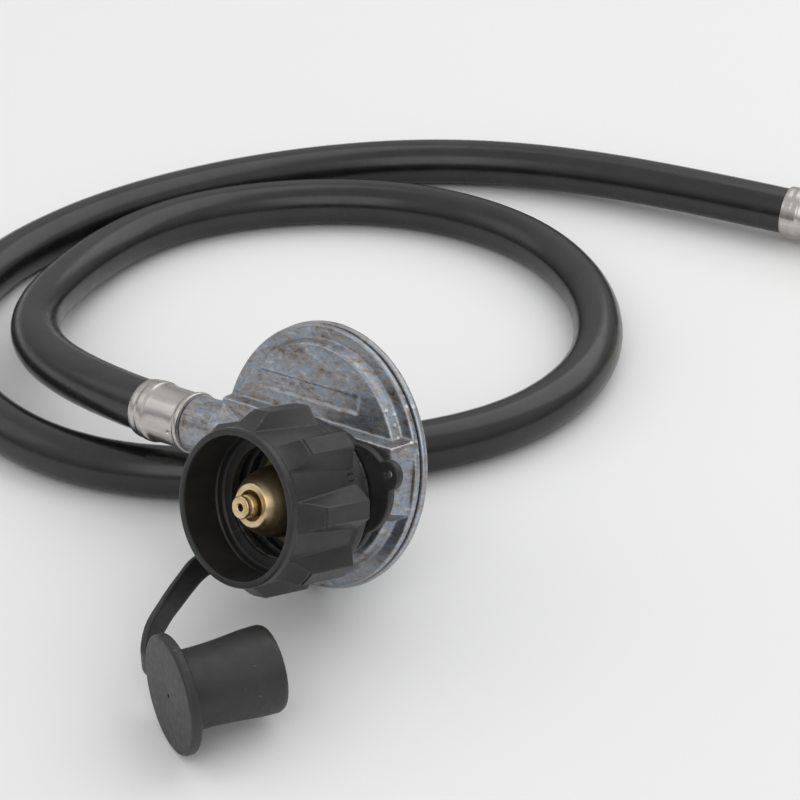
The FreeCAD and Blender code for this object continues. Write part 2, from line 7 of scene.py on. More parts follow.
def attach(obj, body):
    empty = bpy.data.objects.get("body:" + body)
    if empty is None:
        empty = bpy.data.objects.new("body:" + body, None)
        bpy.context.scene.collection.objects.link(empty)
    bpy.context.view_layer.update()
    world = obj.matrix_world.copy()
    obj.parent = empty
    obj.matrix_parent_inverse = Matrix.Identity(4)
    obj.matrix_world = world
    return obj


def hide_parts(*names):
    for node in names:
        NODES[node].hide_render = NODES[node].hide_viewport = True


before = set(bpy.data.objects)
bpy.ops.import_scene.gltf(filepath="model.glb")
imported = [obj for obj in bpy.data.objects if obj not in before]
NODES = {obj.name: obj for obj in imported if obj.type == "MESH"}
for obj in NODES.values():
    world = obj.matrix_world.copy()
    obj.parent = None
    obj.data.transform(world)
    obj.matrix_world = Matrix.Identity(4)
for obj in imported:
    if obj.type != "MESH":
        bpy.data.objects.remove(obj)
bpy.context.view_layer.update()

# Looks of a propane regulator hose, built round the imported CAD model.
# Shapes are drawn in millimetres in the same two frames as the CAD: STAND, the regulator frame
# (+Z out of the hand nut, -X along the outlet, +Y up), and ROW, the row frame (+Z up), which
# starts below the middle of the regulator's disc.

MM = 0.001

# How the regulator stands: on its rim, leaning back, rolled about its own axis.
ORIGIN = Vector((6.156, 26.271, -0.063))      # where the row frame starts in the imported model
LEAN = math.radians(17.5)
ROLL = math.radians(9.6)
RIM_R = 34.3
RIM_BACK = -4.2
HEIGHT = RIM_R * math.cos(LEAN) - RIM_BACK * math.sin(LEAN)
INLET = (11.5, -5.5)

# Outlet, hose and far end
OUTLET_Z = 3.9
STUB_END = 39.5
FERRULE_LENGTH = 19.0
FERRULE_FLOOR = 1.2      # thickness of a ferrule's end, where the hose inside it stops
FERRULE_GAP = 0.1        # between the outlet stub and its ferrule
HOSE_R = 14.3 / 2

ROW = Matrix.Scale(MM, 4) @ Matrix.Translation(ORIGIN)
STAND = (ROW @ Matrix.Translation((0, 0, HEIGHT)) @ Matrix.Rotation(math.pi / 2 - LEAN, 4, "X")
         @ Matrix.Rotation(ROLL, 4, "Z"))
INLET_AXIS = STAND @ Matrix.Translation((*INLET, 0))


def aimed(base, start, direction):
    """Frame whose +Z starts at start and points along direction."""
    turn = Vector(direction).to_track_quat("Z", "Y").to_matrix().to_4x4()
    return base @ Matrix.Translation(start) @ turn


def added(name, data):
    """New object that holds this data, put in the scene."""
    obj = bpy.data.objects.new(name, data)
    bpy.context.scene.collection.objects.link(obj)
    return obj


FAR_POINT = Vector((-24.2, 225.9, 9.6))       # where the hose enters the far ferrule
FAR_HEADING = Vector((0.951, 0.309, 0.0))
FAR_START = FAR_POINT + FAR_HEADING * FERRULE_LENGTH
FAR_AXIS = aimed(ROW, FAR_START, FAR_HEADING)
FAR_BACK_AXIS = aimed(ROW, FAR_START, FAR_HEADING * -1)


# ---- camera ----

CAMERA_PLACE = Vector((430.7, -403.9, 419.5))
CAMERA_AIM = Vector((-0.5975, 0.6018, -0.5299))

camera_data = bpy.data.cameras.new("camera")
camera_data.lens = 125
camera_data.sensor_width = 36
camera_data.clip_end = 200
camera = added("camera", camera_data)
bpy.context.scene.camera = camera
camera.location = ROW @ CAMERA_PLACE
camera.rotation_euler = CAMERA_AIM.to_track_quat("-Z", "Y").to_euler()


# ---- materials ----

class Look:
    """A node material on local coordinates in millimetres."""

    def __init__(self, name, space, color, metallic, roughness):
        """Plain shader values first; color() and roughness() then lay nodes over two of them."""
        self.material = bpy.data.materials.new(name)
        self.material.use_nodes = True
        self.tree = self.material.node_tree
        self.shader = self.tree.nodes["Principled BSDF"]
        self.shader.inputs["Base Color"].default_value = (*color, 1)
        self.shader.inputs["Metallic"].default_value = metallic
        self.shader.inputs["Roughness"].default_value = roughness
        coordinates = self.tree.nodes.new("ShaderNodeTexCoord")
        mapping = self.tree.nodes.new("ShaderNodeMapping")
        mapping.vector_type = "TEXTURE"
        place, turn, scale = space.decompose()
        mapping.inputs["Location"].default_value = place
        mapping.inputs["Rotation"].default_value = turn.to_euler()
        mapping.inputs["Scale"].default_value = scale
        self.tree.links.new(coordinates.outputs["Object"], mapping.inputs["Vector"])
        self.local = mapping.outputs["Vector"]
        self.normal = None

    def node(self, kind, **settings):
        """New node with its settings and socket values."""
        made = self.tree.nodes.new(kind)
        for key, value in settings.items():
            if hasattr(made, key):
                setattr(made, key, value)
            else:
                made.inputs[key].default_value = value
        return made

    def link(self, output, target):
        """Join an output to an input."""
        self.tree.links.new(output, target)

    def stretched(self, stretch):
        """Local coordinates multiplied per axis."""
        math_node = self.node("ShaderNodeVectorMath", operation="MULTIPLY")
        math_node.inputs[1].default_value = stretch
        self.link(self.local, math_node.inputs[0])
        return math_node.outputs[0]

    def noise(self, scale, detail, stretch=(1, 1, 1), distortion=0.0, rough=0.55):
        """Noise with features about 1/scale millimetres wide."""
        made = self.node("ShaderNodeTexNoise", Scale=scale, Detail=detail, Roughness=rough,
                         Distortion=distortion)
        self.link(self.stretched(stretch), made.inputs["Vector"])
        return made.outputs["Fac"]

    def ramp(self, source, stops):
        """Colour ramp over (position, colour) stops."""
        made = self.tree.nodes.new("ShaderNodeValToRGB")
        elements = made.color_ramp.elements
        while len(elements) < len(stops):
            elements.new(0.5)
        for element, (position, color) in zip(elements, stops):
            element.position = position
            element.color = (*color, 1)
        self.link(source, made.inputs["Fac"])
        return made.outputs["Color"]

    def levels(self, source, low, high, out_low, out_high):
        """Map low..high to out_low..out_high, clamped."""
        made = self.tree.nodes.new("ShaderNodeMapRange")
        for name, value in (("From Min", low), ("From Max", high), ("To Min", out_low),
                            ("To Max", out_high)):
            made.inputs[name].default_value = value
        self.link(source, made.inputs["Value"])
        return made.outputs["Result"]

    def mix(self, factor, first, second):
        """Blend of two colours; the factor and each colour is a socket or a plain value."""
        made = self.tree.nodes.new("ShaderNodeMix")
        made.data_type = "RGBA"
        factor_in, first_in, second_in = made.inputs[0], made.inputs[6], made.inputs[7]
        for target, value in ((factor_in, factor), (first_in, first), (second_in, second)):
            if isinstance(value, bpy.types.NodeSocket):
                self.link(value, target)
            else:
                target.default_value = value if target == factor_in else (*value, 1)
        return made.outputs[2]

    def edges(self, low, high):
        """1 on convex edges, 0 on flats; low and high say where the change starts and ends."""
        geometry = self.tree.nodes.new("ShaderNodeNewGeometry")
        return self.levels(geometry.outputs["Pointiness"], low, high, 0, 1)

    def bump(self, height, depth_mm, strength):
        """Add relief of about depth_mm."""
        made = self.node("ShaderNodeBump", Strength=strength, Distance=depth_mm * MM)
        self.link(height, made.inputs["Height"])
        if self.normal is not None:
            self.link(self.normal, made.inputs["Normal"])
        self.normal = made.outputs["Normal"]
        self.link(self.normal, self.shader.inputs["Normal"])

    def color(self, source):
        """Base colour from a socket."""
        self.link(source, self.shader.inputs["Base Color"])

    def roughness(self, source):
        """Roughness from a socket."""
        self.link(source, self.shader.inputs["Roughness"])


def zinc(name, space):
    """Cast zinc: mottled blue, grey, brown and purple passivation, brighter edges that are partly
    wear and partly painted highlight.
    """
    look = Look(name, space, (0.5, 0.5, 0.5), 0.8, 0.4)
    broad = look.noise(0.12, 6, (0.7, 1.4, 1.0), 0.8, 0.7)
    fine = look.noise(0.55, 6, (0.65, 1.4, 1.0), 0.4, 0.72)
    base = look.ramp(broad, [(0.37, (0.13, 0.10, 0.10)), (0.44, (0.29, 0.25, 0.215)),
                             (0.50, (0.37, 0.35, 0.325)), (0.535, (0.20, 0.28, 0.40)),
                             (0.57, (0.42, 0.45, 0.47)), (0.66, (0.25, 0.22, 0.23))])
    spots = look.ramp(fine, [(0.38, (0.13, 0.10, 0.09)), (0.46, (0.36, 0.32, 0.28)),
                             (0.52, (0.25, 0.35, 0.50)), (0.57, (0.40, 0.385, 0.36)),
                             (0.66, (0.68, 0.69, 0.69))])
    mixed = look.mix(0.55, base, spots)
    # near-white on convex edges: partly edge wear, partly painted highlight
    look.color(look.mix(look.levels(look.edges(0.515, 0.575), 0, 1, 0, 0.75), mixed,
                        (0.76, 0.78, 0.80)))
    look.roughness(look.levels(fine, 0.3, 0.7, 0.27, 0.42))
    look.bump(look.noise(0.9, 4), 0.08, 0.5)
    look.bump(look.noise(4.0, 3), 0.02, 0.6)
    return look.material


def nylon(name, space):
    """Moulded black nylon: fine satin grain, faint flow marks, paler edges that are partly scuffs
    and partly painted highlight.
    """
    level = 0.023
    look = Look(name, space, (level, level, level), 0.0, 0.42)
    look.shader.inputs["Specular IOR Level"].default_value = 0.4
    cloud = look.noise(0.16, 4, (1, 1, 0.5), 0.5)
    dark = (level * 0.82, level * 0.81, level * 0.80)
    pale = (level * 1.24, level * 1.22, level * 1.20)
    base = look.mix(look.levels(cloud, 0.35, 0.65, 0, 1), dark, pale)
    # paler colour on convex edges: partly scuffs, partly painted highlight
    look.color(look.mix(look.levels(look.edges(0.51, 0.6), 0, 1, 0, 0.5), base,
                        (level * 4.0, level * 3.95, level * 3.9)))
    look.roughness(look.levels(look.noise(0.7, 5), 0.3, 0.7, 0.32, 0.44))
    look.bump(look.noise(4.0, 2), 0.010, 0.5)
    look.bump(look.noise(0.35, 4, (1, 1, 0.3)), 0.05, 0.25)
    return look.material


def rubber(name, space):
    """Satin rubber with fine grain, a little dust and a few pale specks."""
    level = 0.016
    look = Look(name, space, (level, level, level), 0.0, 0.5)
    look.shader.inputs["Specular IOR Level"].default_value = 0.6
    dust = look.noise(0.12, 5, (1, 1, 1), 0.4, 0.6)
    speck = look.noise(1.5, 1)
    base = look.mix(look.levels(dust, 0.4, 0.75, 0, 0.6), (level, level * 0.99, level * 0.98),
                    (level * 2.1, level * 2.1, level * 2.1))
    look.color(look.mix(look.levels(speck, 0.775, 0.80, 0, 0.7), base, (0.45, 0.42, 0.38)))
    look.roughness(look.levels(look.noise(0.5, 4), 0.3, 0.7, 0.42, 0.56))
    look.bump(look.noise(3.0, 2), 0.010, 0.5)
    look.bump(look.noise(0.22, 2), 0.15, 0.3)
    return look.material


def brass(name, space):
    """Turned brass: fine rings from the tool under patches of slight tarnish."""
    look = Look(name, space, (0.83, 0.68, 0.40), 1.0, 0.24)
    tint = look.noise(0.3, 4, (1, 1, 0.4), 0.4)
    look.color(look.ramp(tint, [(0.3, (0.58, 0.43, 0.23)), (0.5, (0.70, 0.55, 0.32)),
                                (0.7, (0.80, 0.67, 0.44))]))
    look.roughness(look.levels(look.noise(0.5, 3, (0.05, 0.05, 1.5)), 0.3, 0.7, 0.28, 0.40))
    look.bump(look.noise(1.2, 2, (0.02, 0.02, 2.5)), 0.004, 0.5)
    return look.material


def plated(name, space):
    """Plated pressed steel: warm silver, long draw marks, small scuffs."""
    color = (0.56, 0.53, 0.50)
    look = Look(name, space, color, 1.0, 0.27)
    streak = look.noise(0.8, 4, (1, 1, 0.08), 0.2)
    warm = tuple(value * 0.86 for value in color)
    cool = (color[0] * 1.06, color[1] * 1.07, color[2] * 1.09)
    look.color(look.mix(look.levels(streak, 0.3, 0.7, 0, 1), warm, cool))
    look.roughness(look.levels(look.noise(0.3, 4, (1, 1, 0.4), 0.4), 0.3, 0.72, 0.22, 0.34))
    look.bump(look.noise(1.6, 3, (1, 1, 0.06)), 0.008, 0.5)
    look.bump(look.noise(0.16, 2), 0.07, 0.3)
    return look.material


def hose_rubber(name, space):
    """Smooth extruded hose cover: satin black with faint mottling and tiny specks."""
    look = Look(name, space, (0.010, 0.0095, 0.0095), 0.0, 0.25)
    look.shader.inputs["Specular IOR Level"].default_value = 0.6
    cloud = look.noise(0.06, 5, (1, 1, 1), 0.6)
    speck = look.noise(2.4, 2)
    base = look.mix(look.levels(cloud, 0.35, 0.68, 0, 1), (0.006, 0.0058, 0.0058),
                    (0.014, 0.0135, 0.0135))
    look.color(look.mix(look.levels(speck, 0.74, 0.8, 0, 0.35), base, (0.20, 0.20, 0.20)))
    look.roughness(look.levels(look.noise(0.2, 4), 0.3, 0.7, 0.19, 0.29))
    look.bump(look.noise(0.12, 2), 0.14, 0.2)
    look.bump(look.noise(2.5, 2), 0.008, 0.4)
    return look.material


# ---- mesh helpers ----

EASE_STEPS = 5           # spans in an eased corner
SHARP = 40               # degrees; a steeper edge is shaded sharp


def clean_mesh(mesh):
    """Merge a mesh's doubled points and turn its faces outwards."""
    work = bmesh.new()
    work.from_mesh(mesh)
    bmesh.ops.remove_doubles(work, verts=work.verts, dist=1e-5)
    bmesh.ops.recalc_face_normals(work, faces=work.faces)
    work.to_mesh(mesh)
    work.free()


def built(name, vertices, faces):
    """New mesh object with its faces outwards, in the units of its vertices."""
    mesh = bpy.data.meshes.new(name)
    mesh.from_pydata([tuple(vertex) for vertex in vertices], [], faces)
    clean_mesh(mesh)
    return added(name, mesh)


def place_mesh(obj, space, material, body, sharp):
    """Place a mesh from its space's millimetres, shade it smooth and ride it on its body."""
    obj.data.transform(space)
    obj.data.shade_smooth()
    obj.data.set_sharp_from_angle(angle=math.radians(sharp))
    obj.data.materials.clear()
    obj.data.materials.append(material)
    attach(obj, body)


def rounded(corners):
    """Closed line through (r, z, fillet) corners, each corner eased over about its fillet."""
    line = []
    for index, (r, z, fillet) in enumerate(corners):
        here = Vector((r, z))
        if fillet == 0:
            line.append(tuple(here))
            continue
        before = Vector(corners[index - 1][:2]) - here
        after = Vector(corners[(index + 1) % len(corners)][:2]) - here
        reach = min(fillet, before.length * 0.48, after.length * 0.48)
        start = here + before.normalized() * reach
        end = here + after.normalized() * reach
        for step in range(EASE_STEPS + 1):
            t = step / EASE_STEPS
            line.append(tuple(start * (1 - t) ** 2 + here * (2 * t * (1 - t)) + end * t * t))
    return line


def refined(line, step):
    """Closed line with no gap longer than step."""
    result = []
    for first, second in zip(line, line[1:] + line[:1]):
        gap = math.hypot(second[0] - first[0], second[1] - first[1])
        pieces = max(1, math.ceil(gap / step))
        for index in range(pieces):
            t = index / pieces
            result.append((first[0] + (second[0] - first[0]) * t,
                           first[1] + (second[1] - first[1]) * t))
    return result


def turned_mesh(line, steps, rule=None, centre=(0, 0)):
    """Vertices and faces of a closed line turned about Z; rule(angle, r, z) may move a point."""
    vertices = []
    faces = []
    count = len(line)
    for turn in range(steps):
        angle = 2 * math.pi * turn / steps
        for r, z in line:
            if rule:
                r, z = rule(angle, r, z)
            vertices.append((centre[0] + r * math.cos(angle), centre[1] + r * math.sin(angle), z))
        other = (turn + 1) % steps
        for index in range(count):
            ahead = (index + 1) % count
            faces.append((turn * count + index, other * count + index,
                          other * count + ahead, turn * count + ahead))
    return vertices, faces


def turned(name, corners, space, material, body, steps=128, rule=None, gap=None):
    """Turned piece from a closed profile of (r, z, fillet) corners; gap is its widest step."""
    line = rounded(corners)
    if gap:
        line = refined(line, gap)
    obj = built(name, *turned_mesh(line, steps, rule))
    place_mesh(obj, space, material, body, SHARP)
    return obj


def smooth_max(a, b, k):
    """Larger of two values with a blend about k wide."""
    h = max(k - abs(a - b), 0) / k
    return max(a, b) + h * h * k / 4


def smooth_min(a, b, k):
    """Smaller of two values with a blend about k wide."""
    return -smooth_max(-a, -b, k)


def clamped(value):
    """The value held between 0 and 1."""
    return min(1, max(0, value))


def smooth_step(t):
    """Rise from 0 to 1 with soft ends."""
    t = clamped(t)
    return t * t * (3 - 2 * t)


# ---- hose ----

HOSE_REST = HOSE_R + 0.05                     # height of the hose's middle where it lies
HOSE_START = (-STUB_END - FERRULE_GAP - FERRULE_FLOOR, 0, OUTLET_Z)
HOSE_SET_OUT = (-87.5, 0, OUTLET_Z)           # first corner, straight out of the outlet
HOSE_LOOP = [
    (-132, 8, 13.5), (-155.5, 49.5, 8.8), (-161, 89, HOSE_REST), (-143, 125, HOSE_REST),
    (-112, 152, HOSE_REST), (-72, 161, HOSE_REST), (-33, 147, HOSE_REST),
    (-5.9, 116.1, HOSE_REST), (-1.3, 76.5, HOSE_REST), (-18.8, 38.8, HOSE_REST),
    (-40, 4, HOSE_REST), (-72, -20, HOSE_REST), (-112, -24, HOSE_REST), (-150, -7, HOSE_REST),
    (-174, 26, HOSE_REST), (-179, 66, HOSE_REST), (-172, 105, HOSE_REST), (-156, 142, HOSE_REST),
    (-133, 174, HOSE_REST), (-101, 197, 8.4), (-55, 216, FAR_POINT.z)]
HOSE_END = FAR_START - FAR_HEADING * FERRULE_FLOOR
HOSE_ROUTE = ([STAND @ Vector(corner) for corner in (HOSE_START, HOSE_SET_OUT)]
              + [ROW @ Vector(corner) for corner in HOSE_LOOP + [HOSE_END]])

curve = bpy.data.curves.new("hose", "CURVE")
curve.dimensions = "3D"
spline = curve.splines.new("NURBS")
spline.points.add(len(HOSE_ROUTE) - 1)
for point, place in zip(spline.points, HOSE_ROUTE):
    point.co = (*place, 1)
spline.order_u = 3
spline.use_endpoint_u = True
spline.resolution_u = 10
curve.bevel_depth = HOSE_R * MM
curve.bevel_resolution = 10
curve.use_fill_caps = True
curve.materials.append(hose_rubber("hose_rubber_look", ROW))
hose = added("hose", curve)
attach(hose, "regulator")
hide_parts("hose_cover", "hose_liner")


# ---- ferrules and the swivel fitting ----

FERRULE_R = 7.8
HOLE_R = 0.75
HOLE_Z = 3.6
HOLE_DEPTH = 0.62
CRIMP_Z = (3, 13.5)      # stretch of a ferrule that the crimping jaws press
CRIMP_FLATS = 6
OUTER_FROM = 7.4         # a ferrule's outside is every point further out than this


def ferrule(name, space, hole_angle):
    """Crimped ferrule: rolled lip at its fitting end, drawn body, raised band, drilled hole."""
    corners = [(4.6, 0.0, 0.1), (7.3, 0.0, 0.5), (8.25, 0.25, 0.5), (8.25, 1.35, 0.5),
               (7.75, 2.1, 0.6), (7.72, 8.0, 1.0), (7.8, 12.2, 0.8), (7.95, 13.2, 0.4),
               (8.3, 13.8, 0.4), (8.3, 15.6, 0.5), (8.05, 16.4, 0.6), (8.05, 18.0, 0.4),
               (7.85, FERRULE_LENGTH, 0.35), (7.2, FERRULE_LENGTH, 0.1),
               (7.2, FERRULE_FLOOR, 0), (4.6, FERRULE_FLOOR, 0)]

    def rule(angle, r, z):
        """Faint jaw flats and the drilled hole, on the outside only."""
        if r < OUTER_FROM:
            return r, z
        if CRIMP_Z[0] < z < CRIMP_Z[1]:
            facet = math.cos(angle * CRIMP_FLATS + 0.6)
            r += 0.05 * facet * min(1, (z - CRIMP_Z[0]) / 3, (CRIMP_Z[1] - z) / 2)
        around = (angle - hole_angle + math.pi) % (2 * math.pi) - math.pi
        away = math.hypot(around * FERRULE_R, z - HOLE_Z)
        return r - HOLE_DEPTH * smooth_step((1 - away / HOLE_R) * 2.2), z

    return turned(name, corners, space, plated(name + "_look", space), "regulator",
                  288, rule, 0.3)


near_start = (-STUB_END - FERRULE_GAP, 0, OUTLET_Z)
near_ferrule = ferrule("crimp_ferrule", aimed(STAND, near_start, (-1, 0, 0)), 1.25)
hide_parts("regulator_ferrule")
end_ferrule = ferrule("far_crimp_ferrule", FAR_BACK_AXIS, 1.0)
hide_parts("far_ferrule")

stem_corners = [(2.8, -17.1, 0.2), (3.4, -17.1, 0.2), (4.0, -16.3, 0.2), (4.0, -1.1, 0.2),
                (4.6, -1.1, 0.1), (4.6, 0.3, 0.1), (5.0, 0.3, 0.2), (5.0, 6.5, 0.3),
                (6.6, 6.5, 0.3), (6.6, 9.0, 0.2), (5.6, 9.0, 0.15), (2.8, 6.2, 0.3)]
far_stem = turned("flare_stem_turned", stem_corners, FAR_AXIS, brass("flare_stem_look", FAR_AXIS),
                  "regulator")
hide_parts("flare_stem")

FLARE_BACK = 2.0
FLARE_FRONT = 19.0
FLARE_OUTSIDE = 8.6      # every point further out than this is on the outside
HEX_RADIUS = 19.05 / 2   # half the width across the flats
FLARE_THREAD_Z = (9.4, 18.0)
FLARE_MINOR_R = 7.2
FLARE_THREAD_DEPTH = 0.75
FLARE_PITCH = 1.411      # 18 threads per inch


def flare_rule(angle, r, z):
    """Hexagon with eased ends outside, thread inside."""
    if r > FLARE_OUTSIDE:
        across = HEX_RADIUS / math.cos(angle % (math.pi / 3) - math.pi / 6)
        taper = min(z - FLARE_BACK, FLARE_FRONT - z)
        return smooth_min(across, min(r, HEX_RADIUS + 0.15 + taper * 1.7), 0.25), z
    low, high = FLARE_THREAD_Z
    if low < z < high and abs(r - FLARE_MINOR_R) < 0.3:
        phase = (z / FLARE_PITCH + angle / (2 * math.pi)) % 1
        fade = min(1, (z - low) / 0.8)
        return FLARE_MINOR_R + FLARE_THREAD_DEPTH * abs(phase - 0.5) * 2 * fade, z
    return r, z


flare_corners = [(5.4, FLARE_BACK, 0.3), (11.4, FLARE_BACK, 0.2), (11.4, FLARE_FRONT, 0.2),
                 (8.0, FLARE_FRONT, 0.2), (7.3, 18.2, 0.1), (FLARE_MINOR_R, 9.3, 0.1),
                 (7.6, 9.3, 0.1), (7.6, 5.8, 0.2), (5.4, 5.8, 0.2)]
flare_nut = turned("flare_swivel_nut", flare_corners, FAR_AXIS, brass("flare_nut_look", FAR_AXIS),
                   "flare_nut", 360, flare_rule, 0.25)
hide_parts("flare_nut")


# ---- hand nut ----

NUT_BACK = 13.6
NUT_FRONT = 40.0
NUT_OUTSIDE = 18.6       # every point further out than this is on the outside
NUT_WALL_Z = (14.2, 39.2)

RIB_COUNT = 8
RIB_ANGLE = math.radians(6)
RIB_R = 23.1
RIB_HIDDEN_R = 18.5      # inside the wall, where a rib starts to rise
RIB_FOOT_R = 18.9        # inside the wall, where a rib's flanks end
RIB_HALF_FOOT = 5.4      # at the rib's lower end
RIB_HALF_CROWN = 2.3
RIB_NARROWING = 0.08     # of the half foot, per millimetre along the nut
RIB_START = 16.4
RIB_SHOULDER = 32.0      # from here to its end a rib is scooped away
RIB_END = 38.6
SCOOP_R = 19.2
SCOOP_RISE = 3.6

GATE_ANGLE = math.radians(28)
GATE_Z = 18.0
GATE_R = 19.8
GATE_DEPTH = 0.4
GATE_RING = (0.75, 1.15)
GATE_EDGE = 1.3

THREAD_MINOR_R = 14.2
THREAD_DEPTH = 2.5
THREAD_PITCH = 5.08
THREAD_CREST = 0.36      # share of the half pitch that is flat crest
THREAD_FLANK = 0.30      # share of it that is flank
THREAD_Z = (16.4, 26.8)


def rib_radius(angle, z):
    """Radius of the nearest grip rib's surface in this direction and height."""
    spacing = 2 * math.pi / RIB_COUNT
    around = (angle - RIB_ANGLE + spacing / 2) % spacing - spacing / 2
    half_foot = RIB_HALF_FOOT - (z - RIB_START) * RIB_NARROWING
    sine, cosine = abs(math.sin(around)), math.cos(around)
    crown = RIB_R / cosine
    run = half_foot - RIB_HALF_CROWN
    rise = RIB_R - RIB_FOOT_R
    flank = (rise * half_foot + run * RIB_FOOT_R) / (rise * sine + run * cosine)
    surface = smooth_min(crown, flank, 0.16)
    if z > RIB_SHOULDER - 0.6:
        left = clamped((RIB_END - z) / (RIB_END - RIB_SHOULDER))
        surface = smooth_min(surface, SCOOP_R + SCOOP_RISE * left ** 1.45, 0.12)
    start = (z - RIB_START) / 0.35
    if start < 1:
        surface = RIB_HIDDEN_R + (surface - RIB_HIDDEN_R) * max(0, start)
    return surface


def gate_relief(away):
    """Depth of the moulding gate's ring mark at this distance from its middle."""
    inner, outer = GATE_RING
    if away >= GATE_EDGE:
        return 0
    if away < inner:
        return GATE_DEPTH * 0.25
    return GATE_DEPTH if inner < away < outer else GATE_DEPTH * 0.1


def acme_radius(angle, z):
    """Radius of the internal thread, which fades out at both ends."""
    phase = (z / THREAD_PITCH + angle / (2 * math.pi)) % 1
    depth = clamped((abs(phase - 0.5) * 2 - THREAD_CREST) / THREAD_FLANK)
    fade = clamped((z - THREAD_Z[0] - 0.8) / 1.5) * clamped((THREAD_Z[1] - 0.5 - z) / 0.6)
    return THREAD_MINOR_R + THREAD_DEPTH * depth * fade


def nut_rule(angle, r, z):
    """Ribs and the gate mark outside, the ACME thread inside."""
    if r > NUT_OUTSIDE and NUT_WALL_Z[0] < z < NUT_WALL_Z[1]:
        r = smooth_max(r, rib_radius(angle, z), 0.25)
        r -= gate_relief(math.hypot((angle - GATE_ANGLE) * GATE_R, z - GATE_Z))
    if 13.9 < r < 17.0 and THREAD_Z[0] < z < THREAD_Z[1]:
        r = acme_radius(angle, z)
    return r, z


nut_corners = [(9.4, NUT_BACK, 0.2), (19.2, NUT_BACK, 0.5), (19.95, 14.3, 0.4),
               (19.95, 16.6, 0.5), (19.35, 17.6, 0.5), (19.2, 37.4, 0.3), (19.65, 38.0, 0.25),
               (19.6, 39.6, 0.35), (19.2, NUT_FRONT, 0.3), (17.95, NUT_FRONT, 0.3),
               (17.7, 39.6, 0.3), (17.7, 29.2, 0.1), (17.3, 28.7, 0.15), (17.3, 27.4, 0.1),
               (16.85, THREAD_Z[1], 0.25), (THREAD_MINOR_R, THREAD_Z[1], 0.3),
               (THREAD_MINOR_R, 16.2, 0.2), (9.4, 16.2, 0.1)]
hand_nut = turned("hand_nut_moulded", nut_corners, INLET_AXIS, nylon("hand_nut_look", INLET_AXIS),
                  "hand_nut", 720, nut_rule, 0.22)
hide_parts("hand_nut")


# ---- nipple and probe ----

nipple_corners = [(4.6, 5.4, 0.1), (6.6, 5.4, 0.2), (7.0, 5.8, 0.2), (7.0, 12.6, 0.1),
                  (9.0, 12.6, 0.3), (9.0, 18.7, 0.1), (12.0, 18.7, 0.2), (12.0, 20.2, 0.3),
                  (11.7, 20.5, 0.2), (9.0, 20.5, 0.2), (9.0, 25.4, 2.0), (8.62, 28.6, 1.6),
                  (7.75, 31.0, 1.4), (6.55, 33.0, 1.0), (5.5, 34.35, 0.35), (5.25, 34.5, 0.15),
                  (3.95, 34.5, 0.15), (3.75, 34.3, 0.15), (3.75, 29.5, 0.2), (2.92, 29.5, 0.1),
                  (2.92, 24.0, 0), (4.6, 24.0, 0)]
nipple = turned("bullet_nipple", nipple_corners, INLET_AXIS, brass("nipple_look", INLET_AXIS),
                "regulator", 160)
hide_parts("inlet_nipple")

probe_corners = [(1.6, 22.0, 0), (4.58, 22.0, 0), (4.58, 24.0, 0), (2.9, 24.0, 0.1),
                 (2.9, 36.1, 0.12), (2.55, 36.35, 0.1), (2.55, 36.85, 0.1), (2.9, 37.05, 0.12),
                 (2.9, 37.85, 0.25), (2.6, 38.1, 0.15), (1.15, 38.1, 0.12), (0.9, 37.8, 0.15),
                 (0.9, 35.7, 0.1), (1.6, 35.0, 0)]
probe = turned("nipple_probe", probe_corners, INLET_AXIS, brass("probe_look", INLET_AXIS),
               "regulator")
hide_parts("inlet_probe")


# ---- dust cap ----

CAP_FLANGE_R = 14.75
CAP_FLANGE = 2.75        # flange thickness
CAP_LENGTH = 26.5
CAP_HEADING = math.radians(-108.8)
CAP_TILT = math.radians(1.5)
CAP_AXIS = Vector((math.cos(CAP_HEADING) * math.cos(CAP_TILT),
                   math.sin(CAP_HEADING) * math.cos(CAP_TILT), math.sin(CAP_TILT)))
CAP_FACE = Vector((28.2, -75.8, CAP_FLANGE_R * math.cos(CAP_TILT)
                   + CAP_FLANGE * math.sin(CAP_TILT) + 0.05))
CAP_SPACE = aimed(ROW, CAP_FACE, CAP_AXIS)

cap_corners = [(0.55, -0.05, 0.1), (14.2, 0.0, 0.3), (CAP_FLANGE_R, -0.5, 0.45),
               (CAP_FLANGE_R, -2.3, 0.45), (14.2, -CAP_FLANGE, 0.3), (9.85, -CAP_FLANGE, 0.6),
               (9.75, -9.0, 2.0), (10.1, -15.0, 2.5), (10.75, -21.0, 2.0), (10.85, -25.4, 0.6),
               (10.3, -CAP_LENGTH, 0.4), (9.2, -CAP_LENGTH, 0.3), (8.8, -25.5, 0.4),
               (8.8, -3.0, 0.4), (0.55, -2.95, 0.1)]
dust_cap = turned("dust_cap_moulded", cap_corners, CAP_SPACE, rubber("dust_cap_look", CAP_SPACE),
                  "tether", 160)
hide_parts("dust_cap")


# ---- tether ----

BAND_SIDES = 20          # points round a band's section


def along(values, t):
    """Smooth line through a list of vectors, which it passes at t = 0, 1, 2 and so on."""
    index = min(int(t), len(values) - 2)
    u = t - index
    a, b = values[max(index - 1, 0)], values[index]
    c, d = values[index + 1], values[min(index + 2, len(values) - 1)]
    return (b * 2 + (c - a) * u + (a * 2 - b * 5 + c * 4 - d) * u * u
            + (b * 3 - a - c * 3 + d) * u ** 3) * 0.5


